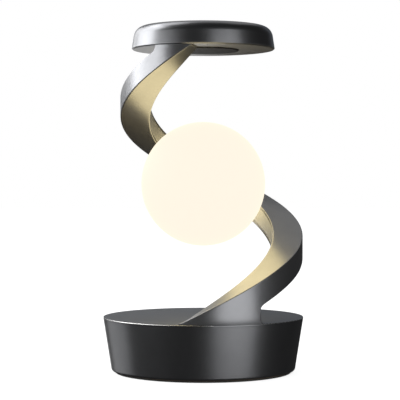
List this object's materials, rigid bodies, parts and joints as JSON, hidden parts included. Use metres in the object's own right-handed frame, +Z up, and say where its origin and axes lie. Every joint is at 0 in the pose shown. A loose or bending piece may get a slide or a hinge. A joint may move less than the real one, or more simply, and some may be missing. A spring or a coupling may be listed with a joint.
{
  "type": "levitating desk lamp",
  "caption": "Desk lamp with a drum base, a one-turn helical arm and a disc head; a lit frosted ball floats free between base and head and can spin.",
  "frame": {"origin": "centre of the round footprint, on the desk", "axes": "+Z up, -Y towards the viewer in front of the lamp, +X to the viewer's right"},
  "size_m": [0.1348, 0.1348, 0.2324],
  "materials": {
    "dark_shell": "satin, dark grey",
    "foot_rubber": "matte",
    "screw_steel": "zinc plated",
    "ballast_steel": "blank",
    "standoff_brass": "blank",
    "board_green": "solder mask",
    "chip_black": "matte",
    "inlet_plate": "nickel plated",
    "button_plastic": "satin",
    "white_plastic": "matte",
    "copper_wire": "enamelled",
    "ferrite": "matte",
    "wire_jacket": "matte",
    "window_black": "gloss",
    "magnet_nickel": "nickel plated",
    "core_steel": "blank",
    "ball_diffuser": "frosted, lit from inside",
    "led_board_white": "solder mask",
    "led_phosphor": "gloss"
  },
  "bodies": {
    "lamp_body": {"base_bowl": "dark_shell", "top_plate": "dark_shell", "arm_shell": "dark_shell", "arm_cover": "dark_shell", "head_floor": "dark_shell", "head_cap": "dark_shell", "foot_ring": "foot_rubber", "case_screws": "screw_steel", "board_screws": "screw_steel", "foot_screws": "screw_steel", "tip_screws": "screw_steel", "head_screws": "screw_steel", "ballast_plate": "ballast_steel", "standoffs": "standoff_brass", "control_board": "board_green", "switch_board": "board_green", "head_board": "board_green", "board_parts": "chip_black", "push_switch": "chip_black", "hall_sensor": "chip_black", "inlet_tongue": "chip_black", "inlet_shell": "inlet_plate", "coil_bobbin": "white_plastic", "transmitter_coil": "copper_wire", "coil_winding": "copper_wire", "transmitter_ferrite": "ferrite", "arm_harness": "wire_jacket", "pole_window": "window_black", "bias_magnet": "magnet_nickel", "magnet_core": "core_steel"},
    "ball": {"ball_upper_shell": "ball_diffuser", "ball_lower_shell": "ball_diffuser", "ball_frame": "white_plastic", "led_boards": "led_board_white", "leds": "led_phosphor", "magnet_post": "white_plastic", "ball_magnet": "magnet_nickel", "receiver_ferrite": "ferrite", "receiver_coil": "copper_wire"},
    "button": {"power_button": "button_plastic", "switch_plunger": "white_plastic"}
  },
  "joints": [
    {"name": "ball_spin", "type": "hinge", "parent": "lamp_body", "child": "ball", "pos_m": [0, 0, 0.1265], "axis": [0, 0, 1], "continuous": true},
    {"name": "power_button_press", "type": "slide", "parent": "lamp_body", "child": "button", "axis": [-0.4226, 0.9063, 0], "range_m": [-0.0015, 0], "stiffness_N_per_m": 600, "springref_m": 0.001}
  ]
}
